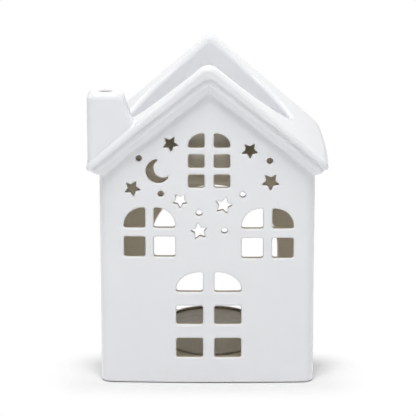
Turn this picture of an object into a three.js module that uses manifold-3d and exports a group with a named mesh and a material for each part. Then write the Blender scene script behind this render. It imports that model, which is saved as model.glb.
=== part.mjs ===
// House-shaped oil burner in white glazed porcelain, with a tealight inside.
// Millimetres, +Z up, front towards -Y. The origin is the middle of the base.
import * as THREE from "three";
import { mergeVertices } from "three/addons/utils/BufferGeometryUtils.js";
import Module from "manifold-3d";

const wasm = await Module();
wasm.setup();

// Walls
const wallWidth = 95;
const wallDepth = 84;
const wallThickness = 4;
const wallCorner = 4.5; // radius of the upright corners
const chamberCorner = 2.5; // the same on the inside
const sideBow = 1.2; // how far the middle of each side stands out past its ends
const floorThickness = 5;

// Roof
const roofWidth = 106;
const roofDepth = 95;
const roofCorner = 4;
const roofPitch = THREE.MathUtils.degToRad(40.3);
const ridgeHeight = 142.1; // where the two slopes would meet without their rounding
const ridgeRounding = 2.4; // distance along each slope that the rounding takes
const slabThickness = 3; // square to the slope
const jointGap = 0.3; // clay slip between two castings
const eaveEdge = 1.4; // upright edge left at the end of a slope
const eaveSlant = 4.1; // height of the slanted underside between that edge and the wall

// Cove under the roof, part of the walls
const coveSetback = 0.6; // from the roof's edge
const coveDrop = 6.2; // square to the slope, from the joint to the foot
const coveLedge = 0.3; // left outside the wall at the foot of the hollow

// Oil well in the roof
const wellFloorHeight = 87.6;
const wellThickness = 4;
const wellClearance = 0.5; // between the well and the walls around it
const wellFloorShare = 0.45; // flat part of the well's floor, as a share of its width
const wellRise = 13; // height over which its sides curve up

// Chimney
const chimneyWidth = 15.5;
const chimneyDepth = 13.4;
const chimneyTop = 129.3;
const chimneySetbackX = 2.4; // from the roof's side edge
const chimneySetbackY = 2; // from the roof's front edge
const chimneyFlare = 4.2; // how far its foot spreads towards the ridge
const chimneyFlareHeight = 13;
const chimneyWall = 3.2;
const chimneyCorner = 3; // radius of its upright corners
const chimneyEdge = 2; // rounding of its top edge
const ventDiameter = 5.6;

// Cut-outs in the front. A window has its middle, its foot, the width of its panes and of the bar
// between them, the heights of its rows of panes from the foot up, and of the rails between rows.
const topWindow = { x: 0.9, z: 87.5, pane: 6.9, bar: 4.1, rows: [5.8, 5.9, 6.2], rails: [2.9, 2.9] };
const leftWindow = { x: -24.8, z: 57, pane: 9.2, bar: 3.7, rows: [8.9, 8.9], rails: [3.9] };
const rightWindow = { x: 26.1, z: 56.4, pane: 9.2, bar: 3.9, rows: [8.9, 8.8], rails: [4.2] };
const door = { x: 0.7, z: 11.8, pane: 11.6, bar: 5, rows: [8.7, 8.3, 8.8], rails: [6.3, 6.2] };
const paneCorner = 0.9;
const archHandle = 0.6; // how full the round heads are: 0.55 would draw a true ellipse
const starWaist = 0.5; // inner radius of a star as a share of its outer radius
const starTip = 0.35; // share of each flank that the rounding of a tip takes
const stars = [ // x, z, diameter with sharp tips, turn in degrees from one tip straight up
  [-15.7, 106.6, 6.7, -29],
  [18.3, 103.7, 6.9, -34.5],
  [27.2, 90, 7.6, 36],
  [-32.1, 87, 6.9, -26],
  [-11.6, 81.7, 6.4, 36],
  [7.2, 79.6, 7.5, -13.7],
  [-3.4, 68.2, 7.4, 9.8],
];
const dotDiameter = 2.6;
const dots = [[-29.2, 100.3], [26.8, 99.2], [-19.9, 84.8], [15.3, 84.4], [-3.4, 76.4], [7.5, 68.6]];
const moon = { x: -21, z: 94.7, radius: 5.4, bite: 4.2, shift: 2.9, turn: 35 };

// Candle opening in the back
const archMiddle = 2.3; // towards +X
const archWidth = 60.1;
const archSpring = 40.8; // height where the round top begins
const archSill = 10;

// Tealight
const tealightMiddle = 1.3; // towards +X, where it was set down
const cupDiameter = 38.6;
const cupHeight = 12.9;
const cupWall = 0.5;
const cupRestGap = 0.3;
const cupRim = 0.9; // width of the rolled rim
const cupRimHeight = 1;
const cupHeel = 1; // height of the slanted edge round the cup's foot
const waxHeight = 11; // filled nearly to the cup's rim
const waxClearance = 0.3;
const wickDiameter = 1.6;
const wickHeight = 5; // above the wax
const wickClearance = 0.3;
const sustainerDiameter = 13;
const sustainerThickness = 0.5;
const sustainerNeck = { diameter: 4, height: 4.5 };

const slope = Math.tan(roofPitch);
const cosPitch = Math.cos(roofPitch);
const roofTopAt = (x, depthBelow = 0) => ridgeHeight - Math.abs(x) * slope - depthBelow / cosPitch;
const eaveEdgeHeight = roofTopAt(roofWidth / 2) - eaveEdge;
const eaveFootHeight = eaveEdgeHeight - eaveSlant;
const reach = 2 * Math.max(roofWidth, roofDepth, ridgeHeight); // ends well outside the house on every side
const overcut = 1; // how far a cutter runs on past the faces that it opens

const glaze = new THREE.MeshStandardMaterial({ color: 0xf3f4f5, roughness: 0.18, metalness: 0 });
const foil = new THREE.MeshStandardMaterial({ color: 0xb9bcc0, roughness: 0.32, metalness: 1 });
const wax = new THREE.MeshStandardMaterial({ color: 0xf4f1e8, roughness: 0.5, metalness: 0 });
const cotton = new THREE.MeshStandardMaterial({ color: 0xe9e4d6, roughness: 0.95, metalness: 0 });
const tinplate = new THREE.MeshStandardMaterial({ color: 0x9da1a5, roughness: 0.4, metalness: 1 });

// Solids and meshes
function solid(geometry) {
  const bare = geometry.clone();
  bare.deleteAttribute("normal");
  bare.deleteAttribute("uv");
  const merged = mergeVertices(bare, 1e-4);
  return new wasm.Manifold(new wasm.Mesh({
    numProp: 3,
    vertProperties: Float32Array.from(merged.attributes.position.array),
    triVerts: Uint32Array.from(merged.index.array),
  }));
}

function mesh(name, shape, material) {
  const { vertProperties, triVerts } = shape.getMesh();
  const geometry = new THREE.BufferGeometry();
  geometry.setAttribute("position", new THREE.BufferAttribute(vertProperties, 3));
  geometry.setIndex(new THREE.BufferAttribute(triVerts, 1));
  const flat = geometry.toNonIndexed();
  flat.computeVertexNormals();
  const result = new THREE.Mesh(flat, material);
  result.name = name;
  return result;
}

// A plan outline with rounded corners and slightly bowed sides, standing from low to high
function planPrism(width, depth, corner, low, high) {
  const x = width / 2 - sideBow;
  const y = depth / 2 - sideBow;
  const outline = new THREE.Shape();
  outline.moveTo(-x + corner, -y);
  outline.quadraticCurveTo(0, -y - 2 * sideBow, x - corner, -y);
  outline.quadraticCurveTo(x, -y, x, -y + corner);
  outline.quadraticCurveTo(x + 2 * sideBow, 0, x, y - corner);
  outline.quadraticCurveTo(x, y, x - corner, y);
  outline.quadraticCurveTo(0, y + 2 * sideBow, -x + corner, y);
  outline.quadraticCurveTo(-x, y, -x, y - corner);
  outline.quadraticCurveTo(-x - 2 * sideBow, 0, -x, -y + corner);
  outline.quadraticCurveTo(-x, -y, -x + corner, -y);
  const prism = new THREE.ExtrudeGeometry(outline, {
    depth: high - low, bevelEnabled: false, curveSegments: 6,
  });
  return solid(prism.translate(0, 0, low));
}

// A shape drawn as the front shows it, in x and z, running from y = near to y = far
function frontPrism(outline, near, far, curveSegments = 6) {
  const prism = new THREE.ExtrudeGeometry(outline, { depth: far - near, bevelEnabled: false, curveSegments });
  return solid(prism.rotateX(Math.PI / 2).translate(0, far, 0));
}

// The gable outline that lies depthBelow under the top of the roof, down to low
function gableOutline(halfWidth, depthBelow, low, rounding = 0) {
  const top = roofTopAt(0, depthBelow);
  const outline = new THREE.Shape();
  outline.moveTo(-halfWidth, low);
  outline.lineTo(halfWidth, low);
  outline.lineTo(halfWidth, roofTopAt(halfWidth, depthBelow));
  if (rounding > 0) {
    const shoulder = rounding * cosPitch;
    outline.lineTo(shoulder, roofTopAt(shoulder, depthBelow));
    outline.quadraticCurveTo(0, top, -shoulder, roofTopAt(shoulder, depthBelow));
  } else {
    outline.lineTo(0, top);
  }
  outline.lineTo(-halfWidth, roofTopAt(halfWidth, depthBelow));
  return outline;
}

// All the space that lies depthBelow or more under the top of the roof
function underRoof(depthBelow, rounding = 0) {
  const outline = gableOutline(reach, depthBelow, roofTopAt(reach, depthBelow) - reach, rounding);
  return frontPrism(outline, -reach, reach);
}

// Everything above the slanted underside of the eaves, so that roof and cove end in one chamfer
function aboveEaves() {
  const outer = roofWidth / 2;
  const outline = new THREE.Shape();
  outline.moveTo(-outer, eaveEdgeHeight);
  outline.lineTo(-wallWidth / 2, eaveFootHeight);
  outline.lineTo(wallWidth / 2, eaveFootHeight);
  outline.lineTo(outer, eaveEdgeHeight);
  outline.lineTo(outer, ridgeHeight);
  outline.lineTo(-outer, ridgeHeight);
  return frontPrism(outline, -reach, reach);
}

// Cut-outs
function roundedRectangle(x, z, width, height, corner) {
  const outline = new THREE.Shape();
  outline.moveTo(x + corner, z);
  outline.lineTo(x + width - corner, z);
  outline.quadraticCurveTo(x + width, z, x + width, z + corner);
  outline.lineTo(x + width, z + height - corner);
  outline.quadraticCurveTo(x + width, z + height, x + width - corner, z + height);
  outline.lineTo(x + corner, z + height);
  outline.quadraticCurveTo(x, z + height, x, z + height - corner);
  outline.lineTo(x, z + corner);
  outline.quadraticCurveTo(x, z, x + corner, z);
  return outline;
}

// The top pane of a window: one half of its round head, with the arc on the outer side
function quarterPane(inner, z, width, height, side, corner) {
  const at = (across, up) => [inner + side * across, z + up];
  const outline = new THREE.Shape();
  outline.moveTo(...at(corner, 0));
  outline.lineTo(...at(width - corner, 0));
  outline.quadraticCurveTo(...at(width, 0), ...at(width, corner));
  outline.bezierCurveTo(
    ...at(width, height * archHandle), ...at(width * archHandle, height), ...at(corner, height),
  );
  outline.quadraticCurveTo(...at(0, height), ...at(0, height - corner));
  outline.lineTo(...at(0, corner));
  outline.quadraticCurveTo(...at(0, 0), ...at(corner, 0));
  return outline;
}

function windowOutlines({ x, z, pane, bar, rows, rails }) {
  const outlines = [];
  let foot = z;
  rows.forEach((height, row) => {
    for (const side of [-1, 1]) {
      const inner = x + (side * bar) / 2;
      if (row === rows.length - 1) {
        outlines.push(quarterPane(inner, foot, pane, height, side, paneCorner));
      } else {
        outlines.push(roundedRectangle(Math.min(inner, inner + side * pane), foot, pane, height, paneCorner));
      }
    }
    foot += height + (rails[row] ?? 0);
  });
  return outlines;
}

function starOutline([x, z, diameter, turn]) {
  const corner = (i) => {
    const radius = (diameter / 2) * (i % 2 ? starWaist : 1);
    const angle = Math.PI / 2 + (i * Math.PI) / 5 + THREE.MathUtils.degToRad(turn);
    return new THREE.Vector2(x + radius * Math.cos(angle), z + radius * Math.sin(angle));
  };
  const outline = new THREE.Shape();
  for (let i = 0; i < 10; i += 2) {
    const tip = corner(i);
    const before = tip.clone().lerp(corner(i - 1), starTip);
    const after = tip.clone().lerp(corner(i + 1), starTip);
    if (i === 0) outline.moveTo(before.x, before.y);
    else outline.lineTo(before.x, before.y);
    outline.quadraticCurveTo(tip.x, tip.y, after.x, after.y);
    outline.lineTo(corner(i + 1).x, corner(i + 1).y);
  }
  return outline;
}

// A crescent: the moon's disc less a smaller disc that is shifted towards its open side
function moonCutter({ x, z, radius, bite, shift, turn }, near, far) {
  const angle = THREE.MathUtils.degToRad(turn);
  const disc = new THREE.Shape().absarc(x, z, radius, 0, 2 * Math.PI);
  const shadow = new THREE.Shape().absarc(
    x + shift * Math.cos(angle), z + shift * Math.sin(angle), bite, 0, 2 * Math.PI,
  );
  return frontPrism(disc, near, far, 20).subtract(frontPrism(shadow, near - overcut, far + overcut, 20));
}

function frontCutter() {
  const near = -roofDepth / 2 - overcut;
  const far = -wallDepth / 2 + wallThickness + sideBow + overcut;
  const panes = [topWindow, leftWindow, rightWindow, door].flatMap(windowOutlines);
  const discs = dots.map(([x, z]) => new THREE.Shape().absarc(x, z, dotDiameter / 2, 0, 2 * Math.PI));
  return wasm.Manifold.union([
    ...panes.map((outline) => frontPrism(outline, near, far, 5)),
    ...stars.map((star) => frontPrism(starOutline(star), near, far, 3)),
    ...discs.map((outline) => frontPrism(outline, near, far, 8)),
    moonCutter(moon, near, far),
  ]);
}

function archCutter() {
  const outline = new THREE.Shape();
  outline.moveTo(archMiddle - archWidth / 2, archSill);
  outline.lineTo(archMiddle + archWidth / 2, archSill);
  outline.lineTo(archMiddle + archWidth / 2, archSpring);
  outline.absarc(archMiddle, archSpring, archWidth / 2, 0, Math.PI);
  return frontPrism(outline, wallDepth / 2 - wallThickness - sideBow - overcut, roofDepth / 2 + overcut, 16);
}

// The hollow along the four rakes: one cylinder each, cut off where it meets its neighbour
function coveCutter() {
  const overhang = (roofDepth - wallDepth) / 2 - coveSetback;
  const radius = overhang - coveLedge;
  const rake = new THREE.CylinderGeometry(radius, radius, reach, 24);
  const half = solid(new THREE.BoxGeometry(reach, reach, reach).translate(reach / 2, 0, ridgeHeight));
  const cutters = [];
  for (const side of [-1, 1]) {
    for (const end of [-1, 1]) {
      const cutter = rake.clone().rotateZ(Math.PI / 2).rotateY(side * roofPitch).translate(
        0, end * (wallDepth / 2 + overhang), roofTopAt(0, slabThickness + coveDrop),
      );
      const keep = side > 0 ? half : half.mirror([1, 0, 0]);
      cutters.push(solid(cutter).intersect(keep));
    }
  }
  return wasm.Manifold.union(cutters);
}

function cove() {
  const seam = slabThickness + jointGap;
  return planPrism(
    roofWidth - 2 * coveSetback, roofDepth - 2 * coveSetback, roofCorner, eaveFootHeight, ridgeHeight,
  )
    .intersect(aboveEaves())
    .intersect(underRoof(seam))
    .subtract(underRoof(slabThickness + coveDrop))
    .subtract(coveCutter());
}

function houseWalls() {
  const seam = slabThickness + jointGap;
  const outside = planPrism(wallWidth, wallDepth, wallCorner, 0, ridgeHeight)
    .intersect(underRoof(seam))
    .add(cove());
  const chamber = planPrism(
    wallWidth - 2 * wallThickness, wallDepth - 2 * wallThickness, chamberCorner,
    floorThickness, ridgeHeight,
  );
  return outside.subtract(chamber).subtract(frontCutter()).subtract(archCutter());
}

// The well as a turned bowl, stretched along x. Its sides run up past the roof.
function wellForm(offset) {
  const halfDepth = wallDepth / 2 - wallThickness - wellClearance - wellThickness + offset;
  const halfWidth = wallWidth / 2 - wallThickness - wellClearance - wellThickness + offset;
  const floor = wellFloorHeight - offset;
  const flat = halfDepth * wellFloorShare;
  const side = new THREE.QuadraticBezierCurve(
    new THREE.Vector2(flat, floor), new THREE.Vector2(halfDepth, floor),
    new THREE.Vector2(halfDepth, floor + wellRise),
  );
  const profile = [
    new THREE.Vector2(0, floor), ...side.getPoints(6),
    new THREE.Vector2(halfDepth, ridgeHeight + overcut), new THREE.Vector2(0, ridgeHeight + overcut),
  ];
  const bowl = new THREE.LatheGeometry(profile, 48).rotateX(Math.PI / 2).scale(halfWidth / halfDepth, 1, 1);
  return solid(bowl);
}

function roofWithWell() {
  const top = underRoof(0, ridgeRounding);
  const slab = planPrism(roofWidth, roofDepth, roofCorner, 0, ridgeHeight)
    .intersect(aboveEaves())
    .intersect(top)
    .subtract(underRoof(slabThickness));
  return slab.add(wellForm(wellThickness).intersect(top)).subtract(wellForm(0));
}

// An upright column with rounded corners and a rounded top, and a wedge that spreads its foot
function chimneyForm() {
  const left = -roofWidth / 2 + chimneySetbackX;
  const right = left + chimneyWidth;
  const near = -roofDepth / 2 + chimneySetbackY;
  const foot = roofTopAt(roofWidth / 2) - chimneyEdge;
  const middle = { x: left + chimneyWidth / 2, y: near + chimneyDepth / 2 };
  const plan = roundedRectangle(left, near, chimneyWidth, chimneyDepth, chimneyCorner);
  const column = new THREE.ExtrudeGeometry(plan, {
    depth: chimneyTop - foot - 2 * chimneyEdge,
    bevelThickness: chimneyEdge,
    bevelSize: chimneyEdge,
    bevelOffset: -chimneyEdge,
    bevelSegments: 3,
    curveSegments: 4,
  }).translate(0, 0, foot + chimneyEdge);

  const flareFoot = roofTopAt(right + chimneyFlare);
  const flare = new THREE.Shape();
  flare.moveTo(middle.x, foot);
  flare.lineTo(right + chimneyFlare, foot);
  flare.lineTo(right + chimneyFlare, flareFoot);
  flare.quadraticCurveTo(right, flareFoot, right, flareFoot + chimneyFlareHeight);
  flare.lineTo(middle.x, flareFoot + chimneyFlareHeight);
  const wedge = frontPrism(flare, near + chimneyEdge, near + chimneyDepth - chimneyEdge);

  const flue = new THREE.BoxGeometry(
    chimneyWidth - 2 * chimneyWall, chimneyDepth - 2 * chimneyWall, chimneyTop - chimneyWall - foot,
  ).translate(middle.x, middle.y, (chimneyTop - chimneyWall + foot) / 2);
  const vent = new THREE.CylinderGeometry(ventDiameter / 2, ventDiameter / 2, 2 * (chimneyWall + overcut), 24)
    .rotateX(Math.PI / 2)
    .translate(middle.x, middle.y, chimneyTop);
  return solid(column)
    .add(wedge)
    .subtract(underRoof(-jointGap))
    .subtract(solid(flue))
    .subtract(solid(vent));
}

// Tealight: every piece is turned about the upright axis
function turned(points, segments) {
  const profile = points.map(([radius, height]) => new THREE.Vector2(radius, height));
  return solid(new THREE.LatheGeometry(profile, segments).rotateX(Math.PI / 2));
}

const cupFoot = floorThickness + cupRestGap;
const waxFoot = cupFoot + cupWall + waxClearance;

function tealightCup() {
  const outer = cupDiameter / 2;
  const top = cupFoot + cupHeight;
  return turned([
    [0, cupFoot], [outer - cupRim, cupFoot], [outer - cupRim / 2, cupFoot + cupHeel],
    [outer - cupRim / 2, top - cupRimHeight], [outer, top - cupRimHeight], [outer, top],
    [outer - cupRim / 2 - cupWall, top], [outer - cupRim / 2 - cupWall, cupFoot + cupHeel + cupWall / 2],
    [outer - cupRim - cupWall / 2, cupFoot + cupWall], [0, cupFoot + cupWall],
  ], 64);
}

function tealightWax() {
  const outer = cupDiameter / 2 - cupRim - cupWall / 2 - waxClearance;
  const hole = wickDiameter / 2 + wickClearance;
  const neck = sustainerNeck.diameter / 2 + wickClearance;
  const disc = sustainerDiameter / 2 + wickClearance;
  const discTop = waxFoot + sustainerThickness + wickClearance;
  const neckTop = waxFoot + sustainerNeck.height + wickClearance;
  const top = waxFoot + waxHeight;
  return turned([
    [hole, neckTop], [neck, neckTop], [neck, discTop], [disc, discTop], [disc, waxFoot],
    [outer, waxFoot], [outer, top], [hole, top], [hole, neckTop],
  ], 48);
}

function wickSustainer() {
  const neck = sustainerNeck.diameter / 2;
  const bore = wickDiameter / 2 + wickClearance;
  return turned([
    [0, waxFoot], [sustainerDiameter / 2, waxFoot], [sustainerDiameter / 2, waxFoot + sustainerThickness],
    [neck, waxFoot + sustainerThickness], [neck, waxFoot + sustainerNeck.height],
    [bore, waxFoot + sustainerNeck.height], [bore, waxFoot + sustainerThickness],
    [0, waxFoot + sustainerThickness],
  ], 32);
}

function tealightWick() {
  const foot = waxFoot + sustainerThickness + wickClearance;
  const length = waxFoot + waxHeight + wickHeight - foot;
  const wick = new THREE.CylinderGeometry(wickDiameter / 2, wickDiameter / 2, length, 12);
  return solid(wick.rotateX(Math.PI / 2).translate(0, 0, foot + length / 2));
}

const burner = new THREE.Group();
const tealight = new THREE.Group();
tealight.position.x = tealightMiddle;
tealight.add(
  mesh("tealight_cup", tealightCup(), foil),
  mesh("tealight_wax", tealightWax(), wax),
  mesh("wick_sustainer", wickSustainer(), tinplate),
  mesh("tealight_wick", tealightWick(), cotton),
);
burner.add(
  mesh("house_walls", houseWalls(), glaze),
  mesh("roof_with_oil_well", roofWithWell(), glaze),
  mesh("chimney", chimneyForm(), glaze),
  tealight,
);

export default burner;
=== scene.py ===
# House-shaped oil burner: white glazed porcelain with a tealight inside, on a pale table.
# Front towards -Y, +Z up, metres. Shapes are worked out in millimetres and turned into metres at the end.
import bpy
import math
import numpy as np
from mathutils import Euler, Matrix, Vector


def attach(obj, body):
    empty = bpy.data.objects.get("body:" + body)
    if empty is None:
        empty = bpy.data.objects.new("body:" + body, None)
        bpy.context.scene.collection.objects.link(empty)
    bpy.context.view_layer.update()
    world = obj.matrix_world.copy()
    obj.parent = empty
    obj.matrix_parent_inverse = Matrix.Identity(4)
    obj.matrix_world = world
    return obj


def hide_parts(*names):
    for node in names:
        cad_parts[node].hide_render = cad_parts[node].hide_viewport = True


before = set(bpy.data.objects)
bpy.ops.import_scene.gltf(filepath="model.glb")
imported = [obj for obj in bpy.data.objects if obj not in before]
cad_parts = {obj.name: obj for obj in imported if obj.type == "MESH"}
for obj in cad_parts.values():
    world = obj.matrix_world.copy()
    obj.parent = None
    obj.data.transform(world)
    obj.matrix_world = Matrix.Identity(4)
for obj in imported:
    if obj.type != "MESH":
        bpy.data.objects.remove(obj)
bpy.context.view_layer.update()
mm = 0.001
tiny = 1e-9  # keeps a length of nothing from dividing by zero
farOff = 1e3  # mm, where a field has nothing near
scene = bpy.context.scene
scene.view_settings.view_transform = "Standard"
print("stage: frame loaded")

# the photograph's viewing angle: metres, degrees, and the focal length in pixels of its frame
view = dict(place=(0.00714, -0.9, 0.28038), down=13.221, turn=0.45, focal=2055.98, frame=416, sensor=36,
            nearest=0.01)

camera = bpy.data.objects.new("camera", bpy.data.cameras.new("camera"))
camera.data.sensor_width = view["sensor"]
camera.data.lens = view["focal"] * view["sensor"] / view["frame"]
camera.data.clip_start = view["nearest"]
camera.location = view["place"]
camera.rotation_euler = Euler((math.radians(90 - view["down"]), 0, math.radians(view["turn"])))
scene.collection.objects.link(camera)
scene.camera = camera


def toLinear(hexColour):
    parts = [int(hexColour[i:i + 2], 16) / 255 for i in (1, 3, 5)]
    return tuple(p / 12.92 if p <= 0.04045 else ((p + 0.055) / 1.055) ** 2.4 for p in parts) + (1.0,)


def addNode(tree, kind, values=None, links=None, **settings):
    node = tree.nodes.new(kind)
    for key, value in settings.items():
        setattr(node, key, value)
    for key, value in (values or {}).items():
        node.inputs[key].default_value = value
    for key, source in (links or {}).items():
        tree.links.new(source, node.inputs[key])
    return node


def addPiece(name, mesh):
    piece = bpy.data.objects.new(name, mesh)
    scene.collection.objects.link(piece)
    return piece


# metres and watts; the edges are Y of the direction looked in, -1 at the camera's side, 1 behind the house
light = dict(skyColour="#fefeff", frontSky=0.03, backSky=0.66, roomEdge=(-0.3, 0.1),
             backdrop=1.65, backdropEdge=(0.75, 0.9), aim=(0, 0, 0.07),
             softBox=dict(place=(-0.03, -0.58, 1.35), size=0.8, power=18, mirrored=False),
             window=dict(place=(-0.15, -0.4, 1.2), size=0.3, power=1.0, mirrored=True))


def makeWorld():
    world = bpy.data.worlds.new("studio")
    world.use_nodes = True
    tree = world.node_tree
    tree.nodes.clear()
    path = addNode(tree, "ShaderNodeLightPath")
    seen = addNode(tree, "ShaderNodeMath", operation="MAXIMUM",
                   links={0: path.outputs["Is Camera Ray"], 1: path.outputs["Is Transmission Ray"]})
    plain = addNode(tree, "ShaderNodeMath", operation="MAXIMUM",
                    links={0: seen.outputs[0], 1: path.outputs["Is Glossy Ray"]})
    place = addNode(tree, "ShaderNodeTexCoord")
    direction = addNode(tree, "ShaderNodeSeparateXYZ", links={0: place.outputs["Generated"]})
    room = addNode(tree, "ShaderNodeMapRange",
                   {"From Min": light["roomEdge"][0], "From Max": light["roomEdge"][1],
                    "To Min": light["frontSky"], "To Max": light["backSky"]},
                   {"Value": direction.outputs["Y"]})
    # the lit backdrop behind the house, which shines in through the candle opening
    backdrop = addNode(tree, "ShaderNodeMapRange",
                       {"From Min": light["backdropEdge"][0], "From Max": light["backdropEdge"][1],
                        "To Max": light["backdrop"]}, {"Value": direction.outputs["Y"]},
                       interpolation_type="SMOOTHSTEP")
    strength = addNode(tree, "ShaderNodeMath", operation="ADD",
                       links={0: room.outputs["Result"], 1: backdrop.outputs["Result"]})
    soft = addNode(tree, "ShaderNodeBackground", {"Color": toLinear(light["skyColour"])},
                   {"Strength": strength.outputs[0]})
    white = addNode(tree, "ShaderNodeBackground", {"Color": (1, 1, 1, 1), "Strength": 1.0})
    mix = addNode(tree, "ShaderNodeMixShader",
                  links={0: plain.outputs[0], 1: soft.outputs[0], 2: white.outputs[0]})
    addNode(tree, "ShaderNodeOutputWorld", links={"Surface": mix.outputs[0]})
    scene.world = world


def addLamp(name, place, size, power, mirrored):  # mirrored: whether the glaze reflects it
    lamp = bpy.data.objects.new(name, bpy.data.lights.new(name, "AREA"))
    lamp.data.shape = "SQUARE"
    lamp.data.size = size
    lamp.data.energy = power
    lamp.location = place
    lamp.visible_glossy = mirrored
    lamp.rotation_euler = (Vector(light["aim"]) - Vector(place)).to_track_quat("-Z", "Y").to_euler()
    scene.collection.objects.link(lamp)


# metres; the paper goes over into plain white by whiteTo outside a block of halfWidth and halfDepth
table = dict(radius=5.0, rings=(0.1, 0.3, 1.0), sides=96, colour="#fcfcfc", seenColour="#e0e0e0",
             middle=-0.03, halfWidth=0.048, halfDepth=0.012, whiteTo=0.024)


def makeTable():
    rings, sides = [*table["rings"], table["radius"]], table["sides"]
    verts = [(0, 0, 0)]
    for radius in rings:
        verts += [(radius * math.cos(2 * math.pi * i / sides), radius * math.sin(2 * math.pi * i / sides), 0)
                  for i in range(sides)]
    faces = [(0, 1 + i, 1 + (i + 1) % sides) for i in range(sides)]
    for r in range(len(rings) - 1):
        a, b = 1 + r * sides, 1 + (r + 1) * sides
        faces += [(a + i, b + i, b + (i + 1) % sides, a + (i + 1) % sides) for i in range(sides)]
    mesh = bpy.data.meshes.new("table_top")
    mesh.from_pydata(verts, [], faces)
    top = addPiece("table_top", mesh)
    # matt white table paper; away from the house it goes over into the plain white background
    material = bpy.data.materials.new("matt_white_table")
    material.use_nodes = True
    tree = material.node_tree
    tree.nodes.clear()
    place = addNode(tree, "ShaderNodeNewGeometry")
    moved = addNode(tree, "ShaderNodeVectorMath", {1: (0, -table["middle"], 0)},
                    {0: place.outputs["Position"]}, operation="ADD")
    side = addNode(tree, "ShaderNodeVectorMath", operation="ABSOLUTE", links={0: moved.outputs["Vector"]})
    beyond = addNode(tree, "ShaderNodeVectorMath", {1: (table["halfWidth"], table["halfDepth"], 0)},
                     {0: side.outputs["Vector"]}, operation="SUBTRACT")
    outside = addNode(tree, "ShaderNodeVectorMath", {1: (0, 0, 0)}, {0: beyond.outputs["Vector"]},
                      operation="MAXIMUM")
    distance = addNode(tree, "ShaderNodeVectorMath", operation="LENGTH", links={0: outside.outputs["Vector"]})
    far = addNode(tree, "ShaderNodeMapRange", {"From Max": table["whiteTo"]},
                  {"Value": distance.outputs["Value"]}, interpolation_type="SMOOTHSTEP")
    path = addNode(tree, "ShaderNodeLightPath")
    seen = addNode(tree, "ShaderNodeMath", operation="MAXIMUM",
                   links={0: path.outputs["Is Camera Ray"], 1: path.outputs["Is Transmission Ray"]})
    white = addNode(tree, "ShaderNodeMath", operation="MULTIPLY",
                    links={0: seen.outputs[0], 1: far.outputs["Result"]})
    # the paper throws more light back up at the house than a camera exposed for the house would show
    tone = addNode(tree, "ShaderNodeMix", {6: toLinear(table["colour"]), 7: toLinear(table["seenColour"])},
                   {0: path.outputs["Is Camera Ray"]}, data_type="RGBA")
    paper = addNode(tree, "ShaderNodeBsdfDiffuse", None, {"Color": tone.outputs[2]})
    plain = addNode(tree, "ShaderNodeEmission", {"Color": (1, 1, 1, 1), "Strength": 1.0})
    mix = addNode(tree, "ShaderNodeMixShader",
                  links={0: white.outputs[0], 1: paper.outputs[0], 2: plain.outputs[0]})
    addNode(tree, "ShaderNodeOutputMaterial", links={"Surface": mix.outputs[0]})
    mesh.materials.append(material)


makeWorld()
addLamp("soft_box", **light["softBox"])
addLamp("window", **light["window"])
makeTable()
print("stage: camera, light and table")


# A field holds, for every point of a grid, how far the point lies outside the clay (below 0: inside).
def both(a, b, radius):  # what lies in both fields, with the edge between them rounded
    edge = np.hypot(np.maximum(a + radius, 0), np.maximum(b + radius, 0))
    return np.minimum(np.maximum(a, b), -radius) + edge


def either(a, b, radius):  # both solids together, with the corner between them filled
    return -both(-a, -b, radius)


def gridLine(*spans):  # spans of (from, to, step)
    parts = [np.linspace(a, b, max(2, round((b - a) / step) + 1)) for a, b, step in spans]
    return np.unique(np.concatenate(parts).round(6))


def smoothStep(x, low, high):
    t = np.clip((x - low) / (high - low), 0, 1)
    return t * t * (3 - 2 * t)


def polygonField(points, x, z):  # signed distance to a closed outline in the plane of the front
    pts = np.array(points, float)
    best = np.full(np.broadcast(x, z).shape, farOff)
    odd = np.zeros(best.shape, bool)
    for (ax, az), (bx, bz) in zip(pts, np.roll(pts, -1, axis=0)):
        ex, ez = bx - ax, bz - az
        length2 = ex * ex + ez * ez + 1e-12  # a doubled point has no length
        t = np.clip(((x - ax) * ex + (z - az) * ez) / length2, 0, 1)
        best = np.minimum(best, np.hypot(x - ax - t * ex, z - az - t * ez))
        odd ^= ((az > z) != (bz > z)) & (x < ax + (z - az) * ex / (ez if abs(ez) > tiny else tiny))
    return np.where(odd, -best, best)


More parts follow.
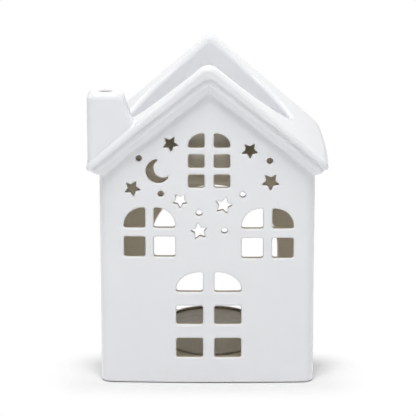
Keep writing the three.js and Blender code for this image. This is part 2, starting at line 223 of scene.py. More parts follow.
# Works a field out on a grid, puts one vertex in every grid cell that the surface crosses and joins
# neighbours with quads. Each mark gives the material a value per vertex.
def skinField(name, fieldOf, xs, ys, zs, marks):
    field = fieldOf(xs[:, None, None], ys[None, :, None], zs[None, None, :]).astype(np.float32)
    inside = field < 0
    lines = (xs, ys, zs)
    corner = [(i >> 2 & 1, i >> 1 & 1, i & 1) for i in range(8)]
    count = sum(inside[a:a + len(xs) - 1, b:b + len(ys) - 1, c:c + len(zs) - 1].astype(np.int8)
                for a, b, c in corner)
    cells = np.argwhere((count > 0) & (count < 8))
    i, j, k = cells.T
    value = np.stack([field[i + a, j + b, k + c] for a, b, c in corner], 1).astype(float)
    spot = np.stack([np.stack([xs[i + a], ys[j + b], zs[k + c]], 1) for a, b, c in corner], 1)
    total, hits = np.zeros((len(cells), 3)), np.zeros(len(cells))
    for p in range(8):
        for bit in (1, 2, 4):
            q = p | bit
            if q == p:
                continue
            crosses = (value[:, p] < 0) != (value[:, q] < 0)
            t = np.where(crosses, value[:, p] / np.where(crosses, value[:, p] - value[:, q], 1), 0)
            total += crosses[:, None] * (spot[:, p] + t[:, None] * (spot[:, q] - spot[:, p]))
            hits += crosses
    verts = total / hits[:, None]
    # slope of the field in each cell, for smooth normals on a coarse grid
    normal = np.zeros((len(cells), 3))
    for axis, bit in enumerate((4, 2, 1)):
        size = lines[axis][cells[:, axis] + 1] - lines[axis][cells[:, axis]]
        for p in range(8):
            normal[:, axis] += (1 if p & bit else -1) * value[:, p] / (4 * size)
    normal /= np.maximum(np.linalg.norm(normal, axis=1), tiny)[:, None]
    number = np.full([n - 1 for n in field.shape], -1, np.int32)
    number[i, j, k] = np.arange(len(cells))
    quads = []
    for axis in range(3):
        step = np.diff(inside.astype(np.int8), axis=axis)
        at = np.argwhere(step != 0)
        u, v = (axis + 1) % 3, (axis + 2) % 3
        at = at[(at[:, u] > 0) & (at[:, v] > 0)
                & (at[:, u] < field.shape[u] - 1) & (at[:, v] < field.shape[v] - 1)]
        ring = []
        for du, dv in ((-1, -1), (0, -1), (0, 0), (-1, 0)):
            cell = at.copy()
            cell[:, u] += du
            cell[:, v] += dv
            ring.append(number[tuple(cell.T)])
        ring = np.stack(ring, 1)
        outwards = step[tuple(at.T)] < 0
        quads.append(np.where(outwards[:, None], ring, ring[:, ::-1]))
    quads = np.concatenate(quads)
    mesh = bpy.data.meshes.new(name)
    mesh.vertices.add(len(verts))
    mesh.vertices.foreach_set("co", (verts * mm).astype(np.float32).ravel())
    mesh.loops.add(quads.size)
    mesh.loops.foreach_set("vertex_index", quads.astype(np.int32).ravel())
    mesh.polygons.add(len(quads))
    mesh.polygons.foreach_set("loop_start", np.arange(0, quads.size, 4, dtype=np.int32))
    mesh.update(calc_edges=True)
    mesh.shade_smooth()
    mesh.normals_split_custom_set_from_vertices(normal)
    for key, mark in marks.items():
        layer = mesh.attributes.new(key, "FLOAT", "POINT")
        layer.data.foreach_set("value", mark(*verts.T).astype(np.float32))
    print(f"stage: {name}, {len(quads)} faces")
    return addPiece(name, mesh)


# mm and degrees; walls first, then the roof's slab, then the moulding under it
house = dict(wallWidth=95, wallDepth=84, wallThickness=4, wallCorner=4.5, sideBow=1.2, chamberCorner=2.5,
             floorThickness=5, floorRounding=1.5, footGap=0.25, footInset=2.2, footRounding=1.0,
             footFillet=0.3, rimRounding=0.75, innerRimRounding=0.5,
             roofWidth=106, roofDepth=95, roofCorner=4, pitch=40.3, ridge=142.1, ridgeOffset=0.7,
             ridgeRadiusFront=6, ridgeRadiusBack=2.5, topRounding=1.7, slab=2.9, slabEdge=0.3,
             slabLean=0.12, slabLeanFrom=0.8, slabEaveRounding=1.6, widening=0.04, widenFrom=33,
             seam=-0.3, seamRidgeRadius=8.6, seamRounding=0.1,
             eaveEdge=1.9, eaveSlant=1.4, eaveRounding=1.8, lipOut=4.4, lipDown=2.35, lipRidgeRadius=7,
             hollowDepth=0.3, hollowRounding=0.3, bevelOut=2.4, bevelRounding=0.4, mouldingDown=5.3,
             mouldingFillet=0.35, creaseRidgeRadius=11, creaseRounding=0.3)
slope = math.tan(math.radians(house["pitch"]))
cosPitch = math.cos(math.radians(house["pitch"]))


def planField(x, y, width, depth, corner):  # upright block with slightly bowed sides
    bow = house["sideBow"]
    halfX, halfY = width / 2, depth / 2
    across = np.abs(x) - halfX + bow * (y / (halfY - corner)) ** 2
    along = np.abs(y) - halfY + bow * (x / (halfX - corner)) ** 2
    return both(across, along, corner)


def slopeField(x, z, radius=0.01):  # how far above the two slopes, square to them, with a rounded ridge
    x = x - house["ridgeOffset"]
    apex = house["ridge"] - radius / cosPitch
    beside = np.abs(x) * cosPitch > (z - apex) * slope * cosPitch
    above = (z - house["ridge"] + np.abs(x) * slope) * cosPitch
    return np.where(beside, above, np.hypot(x, z - apex) - radius)


def roofField(x, y, z):  # the top of the roof, where the ridge is rounder at the front than at the back
    share = (y + house["roofDepth"] / 2) / house["roofDepth"]
    radius = house["ridgeRadiusFront"] + (house["ridgeRadiusBack"] - house["ridgeRadiusFront"]) * share
    return slopeField(x, z, radius)


def moreDepth(x):  # slab and moulding grow a little thicker towards the ridge
    return house["widening"] * np.maximum(house["widenFrom"] - np.abs(x), 0)


def eaveField(x, z):  # outside the slanted underside of the eaves
    edge = house["ridge"] - house["roofWidth"] / 2 * slope - house["eaveEdge"]
    run, drop = (house["roofWidth"] - house["wallWidth"]) / 2, house["eaveSlant"]
    length = math.hypot(run, drop)
    return (np.abs(x) - house["roofWidth"] / 2) * drop / length + (edge - z) * run / length


# x is the middle and z the foot of a window; rows of panes and the rails between them go from the foot up
cutOuts = dict(
    windows=[
        dict(x=0.9, z=87.5, pane=6.9, bar=4.1, rows=[5.8, 5.9, 6.2], rails=[2.9, 2.9]),
        dict(x=-24.8, z=57, pane=9.2, bar=3.7, rows=[8.9, 8.9], rails=[3.9]),
        dict(x=26.1, z=56.4, pane=9.2, bar=3.9, rows=[8.9, 8.8], rails=[4.2]),
        dict(x=0.7, z=11.8, pane=11.6, bar=5, rows=[8.7, 8.3, 8.8], rails=[6.3, 6.2]),
    ],
    paneCorner=0.9, arcShare=0.6,
    # x, z, diameter with sharp tips, turn in degrees
    stars=[(-15.7, 106.6, 7.4, -29), (18.3, 103.7, 7.6, -34.5), (27.2, 90, 8.3, 36), (-32.1, 87, 7.6, -26),
           (-11.6, 81.7, 7.1, 36), (7.2, 79.6, 8.1, -13.7), (-3.4, 68.2, 8.0, 9.8)],
    starWaist=0.47, starTip=0.2,
    dotDiameter=2.6,
    dots=[(-29.2, 100.3), (26.8, 99.2), (-19.9, 84.8), (15.3, 84.4), (-3.4, 76.4), (7.5, 68.6)],
    moon=dict(x=-21, z=94.7, radius=5.2, bite=4.15, shift=2.45, turn=32, tipRounding=0.6),
)


def curvePoints(*points, count=6):  # from the first point to the last, drawn towards those between
    curve = []
    for t in np.linspace(0, 1, count):
        s = 1 - t
        shares = (s ** 2, 2 * t * s, t * t)
        if len(points) == 4:
            shares = (s ** 3, 3 * t * s ** 2, 3 * t * t * s, t ** 3)
        curve.append([sum(share * point[axis] for share, point in zip(shares, points)) for axis in (0, 1)])
    return curve


def archedPanes(x, z, pane, bar, rows, rails):  # outlines; the top row has its arc on the outer side
    outlines, foot, corner, arc = [], z, cutOuts["paneCorner"], cutOuts["arcShare"]
    for row, (high, rail) in enumerate(zip(rows, [*rails, 0])):
        outline = curvePoints((0, corner), (0, 0), (corner, 0))
        outline += curvePoints((pane - corner, 0), (pane, 0), (pane, corner))
        if row == len(rows) - 1:
            outline += curvePoints((pane, corner), (pane, arc * high), (arc * pane, high), (corner, high),
                                   count=16)
        else:
            outline += curvePoints((pane, high - corner), (pane, high), (pane - corner, high))
        outline += curvePoints((corner, high), (0, high), (0, high - corner))
        for side in (-1, 1):
            outlines.append([(x + side * bar / 2 + side * a, foot + b) for a, b in outline])
        foot += high + rail
    return outlines


def starOutline(x, z, diameter, turn):
    def corner(i):
        radius = diameter / 2 * (cutOuts["starWaist"] if i % 2 else 1)
        angle = math.pi / 2 + i * math.pi / 5 + math.radians(turn)
        return np.array([x + radius * math.cos(angle), z + radius * math.sin(angle)])

    outline, share = [], cutOuts["starTip"]
    for i in range(0, 10, 2):
        tip = corner(i)
        before, after = tip + (corner(i - 1) - tip) * share, tip + (corner(i + 1) - tip) * share
        outline += curvePoints(before, tip, after) + [corner(i + 1)]
    return outline


def frontHoles(x, z):
    holes = np.full(np.broadcast(x, z).shape, farOff)
    for window in cutOuts["windows"]:
        for outline in archedPanes(**window):
            holes = np.minimum(holes, polygonField(outline, x, z))
    for star in cutOuts["stars"]:
        holes = np.minimum(holes, polygonField(starOutline(*star), x, z))
    for dotX, dotZ in cutOuts["dots"]:
        holes = np.minimum(holes, np.hypot(x - dotX, z - dotZ) - cutOuts["dotDiameter"] / 2)
    moon = cutOuts["moon"]
    turn = math.radians(moon["turn"])
    disc = np.hypot(x - moon["x"], z - moon["z"]) - moon["radius"]
    bite = np.hypot(x - moon["x"] - moon["shift"] * math.cos(turn),
                    z - moon["z"] - moon["shift"] * math.sin(turn)) - moon["bite"]
    return np.minimum(holes, both(disc, -bite, moon["tipRounding"]))


# mm; the opening in the back, for the candle
arch = dict(middle=2.3, width=60.1, spring=40.8, sill=10, sillCorner=1.2, rounding=1.2)


def archHole(x, z):
    half = arch["width"] / 2
    top = np.hypot(x - arch["middle"], z - arch["spring"]) - half
    sides = np.abs(x - arch["middle"]) - half
    return both(np.where(z > arch["spring"], top, sides), arch["sill"] - z, arch["sillCorner"])


def wallSolid(x, y, z):  # walls and the moulding under the roof, before the holes
    plan = planField(x, y, house["wallWidth"], house["wallDepth"], house["wallCorner"])
    walls = both(plan, house["footGap"] - z, house["footRounding"])
    foot = both(plan + house["footInset"], -z, house["footFillet"])  # low, and set back from the walls
    walls = either(walls, foot, house["footFillet"])
    under = slopeField(x, z, house["seamRidgeRadius"]) + house["slab"] + house["seam"] + moreDepth(x)
    setback = (house["roofDepth"] - house["wallDepth"]) / 2 - house["lipOut"]
    moulding = planField(x, y, house["roofWidth"] - 2 * setback, house["roofDepth"] - 2 * setback,
                         house["roofCorner"])
    moulding = both(moulding, eaveField(x, z), house["eaveRounding"])
    # along the rakes: a shallow hollow under the slab, a lip, and a bevel back to the gable
    out = np.abs(y) - house["wallDepth"] / 2 + house["sideBow"] * (x / (house["wallWidth"] / 2)) ** 2
    down = -slopeField(x, z, house["lipRidgeRadius"]) - house["slab"] - moreDepth(x)
    radius = (house["lipDown"] ** 2 / 4 + house["hollowDepth"] ** 2) / (2 * house["hollowDepth"])
    hollow = np.hypot(out - house["lipOut"] - radius + house["hollowDepth"], down - house["lipDown"] / 2)
    back, drop = house["lipOut"] - house["bevelOut"], house["mouldingDown"] - house["lipDown"]
    bevel = (out - house["lipOut"]) * drop + (down - house["lipDown"]) * back
    crease = -slopeField(x, z, house["creaseRidgeRadius"]) - house["slab"] - moreDepth(x)
    moulding = both(moulding, -(hollow - radius), house["hollowRounding"])
    moulding = both(moulding, bevel / math.hypot(back, drop), house["bevelRounding"])
    moulding = both(moulding, crease - house["mouldingDown"], house["creaseRounding"])
    return both(either(walls, moulding, house["mouldingFillet"]), under, house["seamRounding"])


def wallField(x, y, z):
    lost = 2 * house["wallThickness"]
    chamber = planField(x, y, house["wallWidth"] - lost, house["wallDepth"] - lost, house["chamberCorner"])
    chamber = both(chamber, house["floorThickness"] - z, house["floorRounding"])
    body = both(wallSolid(x, y, z), -chamber, house["innerRimRounding"])
    front = np.where(y < 0, -frontHoles(x, z), -farOff)
    back = np.where(y > 0, -archHole(x, z), -farOff)
    return both(both(body, front, house["rimRounding"]), back, arch["rounding"])


# Where the glaze ends, and where the cut faces and the flue are painted darker as shade. The pairs are depths
# in mm under the glazed outside, over which a mark comes in or goes out, and flueShade is the share of
# painted shade inside the flue. Under the roof it ends underReach mm past the walls' half depth to front and
# back and underSide mm further out at the sides, and wellSkin mm outside the bowl.
glazeEnd = dict(bare=(0.35, 1.0), cut=(0.5, 1.1), cutBack=(3.3, 3.8), flue=(0.3, 0.9), flueShade=0.4,
                under=(2.6, 3.2), underReach=1, underSide=6, wellSkin=1)


def bareClay(x, y, z):  # 1 where the surface lies deeper than the glazed outside, as in a cut-out
    return smoothStep(-wallSolid(x, y, z), *glazeEnd["bare"])


def cutFace(x, y, z):  # 1 on the faces cut through the front wall, where the clay is painted darker as shade
    depth = -wallSolid(x, y, z)
    return smoothStep(depth, *glazeEnd["cut"]) * (1 - smoothStep(depth, *glazeEnd["cutBack"])) * (y < 0)


# mm; the walls are fine where the front and back lie, plain between them, and finest at the foot
grid = dict(margin=1, wallsFoot=-1, footTop=8, wallsTop=139, plainHalf=36.4, plainStep=2.0, roofFoot=82,
            roofTop=142.5, stackX=(-54, -31.5), stackY=(-47.5, -28.3), stackZ=(97, 130))
cell = dict(walls=0.5, roof=0.55, stack=0.3)
reachX, reachY = house["roofWidth"] / 2 + grid["margin"], house["roofDepth"] / 2 + grid["margin"]
plain = grid["plainHalf"]

walls = skinField(
    "walls", wallField, gridLine((-reachX, reachX, cell["walls"])),
    gridLine((-reachY, -plain, cell["walls"]), (-plain, plain, grid["plainStep"]),
             (plain, reachY, cell["walls"])),
    gridLine((grid["wallsFoot"], grid["footTop"], cell["walls"] / 2),
             (grid["footTop"], grid["wallsTop"], cell["walls"])),
    {"bare": bareClay, "cut": cutFace})

# mm and degrees; the bowl between the gable rims, and the hollow stack on the front left eave
well = dict(halfWidth=39, halfDepth=36.8, draft=6, floor=87.6, thickness=4, sideThickness=2, sweep=14,
            rimRounding=2.8, underFillet=1.5)
chimney = dict(width=15.7, depth=13.4, top=129.3, setbackX=2.0, setbackY=1.8, corner=3.2, edge=3.3,
               flare=4.2, flareHeight=13, flareCurve=1.4, flareReach=1.3, footFillet=1,
               stubInset=0.15, stubHeight=4, stubDepth=1, stubRounding=0.5, bedding=0.3, beddingRounding=0.1,
               wall=3.2, flueCorner=1, flueTopRounding=0.8, flueRounding=0.3, vent=5.6, ventRounding=0.9)
chimneyLeft = -house["roofWidth"] / 2 + chimney["setbackX"]
chimneyX = chimneyLeft + chimney["width"] / 2
chimneyY = -house["roofDepth"] / 2 + chimney["setbackY"] + chimney["depth"] / 2


def wellField(x, y, z, side=0.0, below=0.0):  # a bowl with an oval rim, which narrows towards its floor
    a, b = well["halfWidth"] + side, well["halfDepth"] + side
    k = np.sqrt((x / a) ** 2 + (y / b) ** 2) + tiny
    steep = np.sqrt((x / a ** 2) ** 2 + (y / b ** 2) ** 2) / k + tiny
    draft = math.radians(well["draft"])
    wall = (np.maximum((k - 1) / steep, -2 * b) + (house["ridge"] - z) * math.tan(draft)) * math.cos(draft)
    return both(wall, well["floor"] - below - z, well["sweep"] + below)


def chimneyColumn(x, y, z):  # the side towards the ridge leans out near its foot
    foot = house["ridge"] - abs(chimneyLeft + chimney["width"] + chimney["flare"]) * slope
    lean = np.clip(1 - (z - foot) / chimney["flareHeight"], 0, chimney["flareReach"])
    lean = chimney["flare"] * lean ** chimney["flareCurve"]
    across = np.where(x > chimneyX, x - chimneyX - chimney["width"] / 2 - lean,
                      chimneyX - x - chimney["width"] / 2)
    along = np.abs(y - chimneyY) - chimney["depth"] / 2
    return both(both(across, along, chimney["corner"]), z - chimney["top"], chimney["edge"])


def roofSlab(x, y, z):  # the slab under the roof's top, with the outside of the well
    slab = planField(x, y, house["roofWidth"], house["roofDepth"], house["roofCorner"])
    deeper = np.maximum(-roofField(x, y, z) - house["slabLeanFrom"], 0)
    slab = slab + house["slabLean"] * deeper  # its edge leans in towards the foot
    slab = both(slab, eaveField(x, z), house["slabEaveRounding"])
    under = slopeField(x, z, house["seamRidgeRadius"]) + house["slab"] + moreDepth(x)
    slab = both(slab, -under, house["slabEdge"])
    return either(slab, wellField(x, y, z, well["sideThickness"], well["thickness"]), well["underFillet"])


def roofWithWellField(x, y, z):
    top = roofField(x, y, z)
    openTop = both(top, -wellField(x, y, z), well["rimRounding"])
    body = both(roofSlab(x, y, z), openTop, house["topRounding"])
    # glaze that fills the corner round the chimney's foot: the roof runs up a little inside the chimney
    stub = both(chimneyColumn(x, y, z) + chimney["stubInset"], top - chimney["stubHeight"],
                chimney["stubRounding"])
    return either(body, np.maximum(stub, -(top + chimney["stubDepth"])), chimney["footFillet"])


def roofUnderside(x, y, z):  # 1 under the roof and on the outside of the well
    reach = house["wallDepth"] / 2 + glazeEnd["underReach"]
    beside = smoothStep(reach - np.maximum(np.abs(y), np.abs(x) - glazeEnd["underSide"]), 0, 1)
    under = smoothStep(-roofField(x, y, z), *glazeEnd["under"])
    return under * beside * (wellField(x, y, z) > glazeEnd["wellSkin"])


def chimneyField(x, y, z):
    column = both(chimneyColumn(x, y, z), chimney["bedding"] - slopeField(x, z), chimney["beddingRounding"])
    flue = both(np.abs(x - chimneyX) - chimney["width"] / 2 + chimney["wall"],
                np.abs(y - chimneyY) - chimney["depth"] / 2 + chimney["wall"], chimney["flueCorner"])
    flue = both(flue, z - chimney["top"] + chimney["wall"], chimney["flueTopRounding"])
    vent = np.hypot(x - chimneyX, y - chimneyY) - chimney["vent"] / 2
    return both(both(column, -flue, chimney["flueRounding"]), -vent, chimney["ventRounding"])


def insideFlue(x, y, z):
    return smoothStep(-chimneyColumn(x, y, z), *glazeEnd["flue"])


# painted shade inside the flue: a share of the darker cut colour
def flueShade(x, y, z):
    return glazeEnd["flueShade"] * insideFlue(x, y, z)


roof = skinField("roof_and_well", roofWithWellField, gridLine((-reachX, reachX, cell["roof"])),
                 gridLine((-reachY, reachY, cell["roof"])),
                 gridLine((grid["roofFoot"], grid["roofTop"], cell["roof"])), {"bare": roofUnderside})
stack = skinField("chimney_stack", chimneyField, gridLine((*grid["stackX"], cell["stack"])),
                  gridLine((*grid["stackY"], cell["stack"])), gridLine((*grid["stackZ"], cell["stack"])),
                  {"bare": insideFlue, "cut": flueShade})


# Slip-cast porcelain under a white glaze: an even cool white with a wet, slightly wavy shine.
# Inside, the clay is bare: matt and a pale cream. The cut faces and the inside of the flue are painted
# darker, as painted shade.
# pooling, wave and grain are in mm, the two heights too
porcelain = dict(glazeColour="#e5e6e8", thickGlaze="#e1e2e5", bareColour="#f7f2e6", bareDark="#f2ecdf",
                 cutColour="#8d8270", roughness=0.14, bareRoughness=0.75, ior=1.52, pooling=22,
                 wave=14, waveStrength=0.5, waveHeight=0.05, grain=0.9, grainStrength=0.25, grainHeight=0.05)


def glazedPorcelain():
    p = porcelain
    material = bpy.data.materials.new("glazed_porcelain")
    material.use_nodes = True
    tree = material.node_tree
    shader = tree.nodes["Principled BSDF"]
    place = {"Vector": addNode(tree, "ShaderNodeTexCoord").outputs["Object"]}
    pooling = addNode(tree, "ShaderNodeTexNoise",
                      {"Scale": 1 / (p["pooling"] * mm), "Detail": 2.0, "Roughness": 0.5}, place)
    glaze = addNode(tree, "ShaderNodeMix", {6: toLinear(p["glazeColour"]), 7: toLinear(p["thickGlaze"])},
                    {0: pooling.outputs["Fac"]}, data_type="RGBA")
    grain = addNode(tree, "ShaderNodeTexNoise",
                    {"Scale": 1 / (p["grain"] * mm), "Detail": 3.0, "Roughness": 0.6}, place)
    clay = addNode(tree, "ShaderNodeMix", {6: toLinear(p["bareColour"]), 7: toLinear(p["bareDark"])},
                   {0: grain.outputs["Fac"]}, data_type="RGBA")
    bare = addNode(tree, "ShaderNodeAttribute", attribute_name="bare")
    cut = addNode(tree, "ShaderNodeAttribute", attribute_name="cut")
    # painted shade: the cut faces and the inside of the flue go over to the darker cut colour
    inner = addNode(tree, "ShaderNodeMix", {7: toLinear(p["cutColour"])},
                    {0: cut.outputs["Fac"], 6: clay.outputs[2]}, data_type="RGBA")
    colour = addNode(tree, "ShaderNodeMix", None,
                     {0: bare.outputs["Fac"], 6: glaze.outputs[2], 7: inner.outputs[2]}, data_type="RGBA")
    rough = addNode(tree, "ShaderNodeMapRange", {"To Min": p["roughness"], "To Max": p["bareRoughness"]},
                    {"Value": bare.outputs["Fac"]})
    wave = addNode(tree, "ShaderNodeTexNoise", {"Scale": 1 / (p["wave"] * mm), "Detail": 1.0}, place)
    flow = addNode(tree, "ShaderNodeBump", {"Strength": p["waveStrength"], "Distance": p["waveHeight"] * mm},
                   {"Height": wave.outputs["Fac"]})
    pores = addNode(tree, "ShaderNodeBump",
                    {"Strength": p["grainStrength"], "Distance": p["grainHeight"] * mm},
                    {"Height": grain.outputs["Fac"], "Normal": flow.outputs["Normal"]})
    normal = addNode(tree, "ShaderNodeMix", None,
                     {0: bare.outputs["Fac"], 4: flow.outputs["Normal"], 5: pores.outputs["Normal"]},
                     data_type="VECTOR")
    tree.links.new(colour.outputs[2], shader.inputs["Base Color"])
    tree.links.new(rough.outputs["Result"], shader.inputs["Roughness"])
    tree.links.new(normal.outputs[1], shader.inputs["Normal"])
    shader.inputs["IOR"].default_value = p["ior"]
    return material


glazed = glazedPorcelain()
for piece, node in ((walls, "house_walls"), (roof, "roof_with_oil_well"), (stack, "chimney")):
    piece.data.materials.append(glazed)
    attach(piece, "house")
    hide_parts(node)
print("stage: porcelain")

# mm; a profile is a list of (radius, height), each with where its heights start
tealight = dict(
    middle=1.3, foot=5.3, height=12.9, radius=19.3, sideTop=18.85, sideFoot=18.3, heel=1.3, foil=0.25,
    base=[(0, 0.5), (9, 0.5), (12, 0.4), (13, 0.12), (13.8, 0)],  # from the cup's foot up
    baseEdge=0.1, bead=0.42, beadDepth=1.2, innerHeel=0.2,
    flutes=60, fluteDepth=0.05, fluteFoot=1.0, fluteTop=1.6, fluteFade=1.5, fluteInside=0.7,
    filling=0.8,  # from the cup's foot up to the wax and the sustainer
    waxTop=17.1,
    waxSurface=[(1.1, 3), (1.1, 0.55), (1.6, 0.35), (3, 0.3), (7, 0.15), (12, 0.1), (15.5, 0.12), (17, 0.05),
                (17.6, 0), (17.85, 0.05), (17.85, 0.8)],  # from waxTop down
    waxUnder=[(17.6, 1.2), (16.65, 0), (6.8, 0), (6.8, 0.8), (2.3, 0.8), (2.3, 4.8),
              (1.1, 4.8)],  # from its foot up
    sustainer=[(0, 0), (6.2, 0), (6.5, 0.12), (6.5, 0.3), (6.2, 0.45), (3.2, 0.45), (2.2, 0.65), (1.9, 1.2),
               (1.75, 4.2), (1.5, 4.5), (1.15, 4.4), (1.15, 0.7), (0, 0.5)],  # from its foot up
    crimped=(7, 8, 9), crimps=4, crimpDepth=0.18,  # crimped are the profile's points on the neck
    wickFoot=1.6, wickTop=22.1, strands=3, strandRadius=0.4, strandLay=0.38, strandPitch=3.1,
    tipDrop=0.15, tipFrom=0.96, tipTaper=0.35)


def turnedPiece(name, profile, segments, wave=None, closed=False):  # wave moves each point of the profile out
    angles = np.linspace(0, 2 * math.pi, segments, endpoint=False)
    verts, faces, rings = [], [], []
    for n, (radius, height) in enumerate(profile):
        if radius == 0:
            rings.append([len(verts)])
            verts.append((tealight["middle"] * mm, 0, height * mm))
            continue
        shift = wave(n, angles) if wave else 0 * angles
        rings.append(list(range(len(verts), len(verts) + segments)))
        verts += [((tealight["middle"] + (radius + d) * math.cos(a)) * mm, (radius + d) * math.sin(a) * mm,
                   height * mm) for a, d in zip(angles, shift)]
    pairs = list(zip(rings, rings[1:])) + ([(rings[-1], rings[0])] if closed else [])
    for low, high in pairs:
        for i in range(segments):
            j = (i + 1) % segments
            if len(low) == 1:
                faces.append((low[0], high[j], high[i]))
            elif len(high) == 1:
                faces.append((low[i], low[j], high[0]))
            else:
                faces.append((low[i], low[j], high[j], high[i]))
    mesh = bpy.data.meshes.new(name)
    mesh.from_pydata(verts, [], faces)
    mesh.shade_smooth()
    return addPiece(name, mesh)


def cupProfile():
    t = tealight
    foot, heel, bead = t["foot"], t["heel"], t["bead"]
    top, taper = foot + t["height"], t["sideTop"] - t["sideFoot"]
    pts = [(radius, foot + rise) for radius, rise in t["base"]] + [(t["sideFoot"] - heel, foot)]
    for a in np.linspace(0.15, math.pi / 2, 8):  # round the heel
        pts.append((t["sideFoot"] - heel * (1 - math.sin(a)), foot + heel * (1 - math.cos(a))))
    for s in np.linspace(0.12, 1, 9):  # up the side
        pts.append((t["sideFoot"] + taper * s, foot + heel + (t["height"] - heel - 2 * bead) * s))
    for a in np.linspace(-math.pi / 2, math.pi, 16):  # round the rolled rim
        pts.append((t["radius"] - bead + bead * math.cos(a), top - bead + bead * math.sin(a)))
    innerTop, innerFoot = top - t["beadDepth"], foot + heel + t["innerHeel"]
    for s in np.linspace(0, 1, 7):  # down the inside
        pts.append((t["sideTop"] - t["foil"] - taper * s, innerTop + (innerFoot - innerTop) * s))
    pts += [(t["sideFoot"] - heel - t["baseEdge"], foot + t["foil"]), (0, foot + t["base"][0][1] + t["foil"])]
    return pts


def makeCup():
    t, profile = tealight, cupProfile()

    def flute(n, angles):  # the flutes fade out at the heel, under the rim and towards the base
        radius, rise = profile[n][0], profile[n][1] - t["foot"]
        fadeIn = (rise - t["fluteFoot"]) / t["fluteFade"]
        fadeOut = (t["height"] - t["fluteTop"] - rise) / t["fluteFade"]
        deep = min(max(fadeIn, 0), 1) * min(max(fadeOut, 0), 1)
        if radius < t["sideFoot"] - t["fluteInside"]:
            deep = 0
        return -t["fluteDepth"] * deep * (0.5 + 0.5 * np.cos(t["flutes"] * angles))

    return turnedPiece("tealight_foil_cup", profile, 360, flute)


def makeWax():
    t = tealight
    pts = [(radius, t["waxTop"] - drop) for radius, drop in t["waxSurface"]]
    pts += [(radius, t["foot"] + t["filling"] + rise) for radius, rise in t["waxUnder"]]
    return turnedPiece("tealight_wax_disc", pts, 128, closed=True)


def makeSustainer():
    t = tealight

    def crimp(n, angles):  # the neck is crimped onto the wick from four sides
        return (-t["crimpDepth"] if n in t["crimped"] else 0) * (0.5 + 0.5 * np.cos(t["crimps"] * angles))

    pts = [(radius, t["foot"] + t["filling"] + rise) for radius, rise in t["sustainer"]]
    return turnedPiece("sustainer_disc", pts, 96, crimp)


def makeWick():  # strands laid round each other, which narrow at the tip
    t = tealight
    low, high, lay = t["foot"] + t["wickFoot"], t["wickTop"], t["strandLay"]
    steps, sides = 90, 10
    verts, faces = [], []
    for s in range(t["strands"]):
        start = len(verts)
        for n in range(steps + 1):
            f = n / steps
            z = low + (high - low - t["tipDrop"]) * f
            turn = 2 * math.pi * (f * (high - low) / t["strandPitch"] + s / t["strands"])
            cx, cy = t["middle"] + lay * math.cos(turn), lay * math.sin(turn)
            thin = t["tipTaper"] * max(0, (f - t["tipFrom"]) / (1 - t["tipFrom"]))
            radius = t["strandRadius"] * (1 - thin)
            for i in range(sides):
                a = 2 * math.pi * i / sides
                verts.append(((cx + radius * math.cos(a)) * mm, (cy + radius * math.sin(a)) * mm, z * mm))
        for n in range(steps):
            for i in range(sides):
                j = (i + 1) % sides
                a = start + n * sides
                faces.append((a + i, a + j, a + sides + j, a + sides + i))
        faces.append(tuple(start + i for i in reversed(range(sides))))
        faces.append(tuple(start + steps * sides + i for i in range(sides)))
    mesh = bpy.data.meshes.new("braided_wick")
    mesh.from_pydata(verts, [], faces)
    mesh.shade_smooth()
    return addPiece("braided_wick", mesh)


# In these four, size is the pattern's grain in mm, and bump its strength and its height in mm.
# Pressed aluminium foil: bright grey metal with soft upright streaks from the press.
foil = dict(name="pressed_aluminium_foil", colours=("#e2e3e4", "#cfd0cf"), size=0.6, detail=3.0,
            stretch=(1.0, 1.0, 0.08), roughness=(0.26, 0.42), bump=(0.3, 0.05), sockets={"Metallic": 1.0})
# Poured paraffin: a dull bloom, and light passing a little way in. It is darker than clean wax, because
# that is how it shows in the dim chamber behind the door.
wax = dict(name="poured_paraffin_wax", colours=("#9a8e79", "#8d826c"), size=3.5, detail=4.0,
           roughness=(0.38, 0.55), bump=(0.4, 0.08),
           sockets={"IOR": 1.43, "Subsurface Weight": 0.15, "Subsurface Radius": (1.0, 0.8, 0.5),
                    "Subsurface Scale": 1.2 * mm})
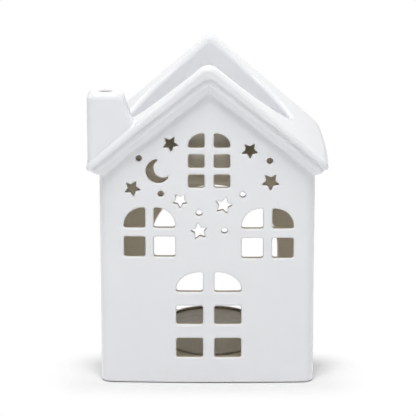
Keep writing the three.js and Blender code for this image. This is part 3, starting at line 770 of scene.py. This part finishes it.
# Stamped tinplate: cool grey metal with fine rolling lines.
tin = dict(name="stamped_tinplate", colours=("#a9acae", "#95989b"), size=0.15, detail=2.0,
           stretch=(0.05, 1.0, 1.0), roughness=(0.3, 0.45), sockets={"Metallic": 1.0})
# Braided cotton dipped in wax: off-white and matt. Its fibres, some 0.02 mm thick, are drawn coarser to show.
cotton = dict(name="braided_cotton", colours=("#ded8c8", "#c3bba7"), size=0.12, detail=2.0, bump=(0.6, 0.05),
              sockets={"Roughness": 0.85})


def grainedMaterial(name, colours, size, detail, sockets, stretch=None, roughness=None, bump=None):
    material = bpy.data.materials.new(name)
    material.use_nodes = True
    tree = material.node_tree
    shader = tree.nodes["Principled BSDF"]
    place = addNode(tree, "ShaderNodeTexCoord").outputs["Object"]
    if stretch:
        place = addNode(tree, "ShaderNodeMapping", {"Scale": stretch}, {"Vector": place}).outputs["Vector"]
    grain = addNode(tree, "ShaderNodeTexNoise", {"Scale": 1 / (size * mm), "Detail": detail},
                    {"Vector": place}).outputs["Fac"]
    colour = addNode(tree, "ShaderNodeMix", {6: toLinear(colours[0]), 7: toLinear(colours[1])}, {0: grain},
                     data_type="RGBA")
    tree.links.new(colour.outputs[2], shader.inputs["Base Color"])
    if roughness:
        rough = addNode(tree, "ShaderNodeMapRange", {"To Min": roughness[0], "To Max": roughness[1]},
                        {"Value": grain})
        tree.links.new(rough.outputs["Result"], shader.inputs["Roughness"])
    if bump:
        relief = addNode(tree, "ShaderNodeBump", {"Strength": bump[0], "Distance": bump[1] * mm},
                         {"Height": grain})
        tree.links.new(relief.outputs["Normal"], shader.inputs["Normal"])
    for socket, value in sockets.items():
        shader.inputs[socket].default_value = value
    return material


for piece, node, finish, slot in (
    (makeCup(), "tealight_cup", foil, "aluminium_foil"),
    (makeWax(), "tealight_wax", wax, "paraffin_wax"),
    (makeSustainer(), "wick_sustainer", tin, "tinplate"),
    (makeWick(), "tealight_wick", cotton, "cotton"),
):
    piece.data.materials.append(grainedMaterial(**finish))
    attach(piece, "tealight")
    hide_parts(node)
print("stage: tealight")
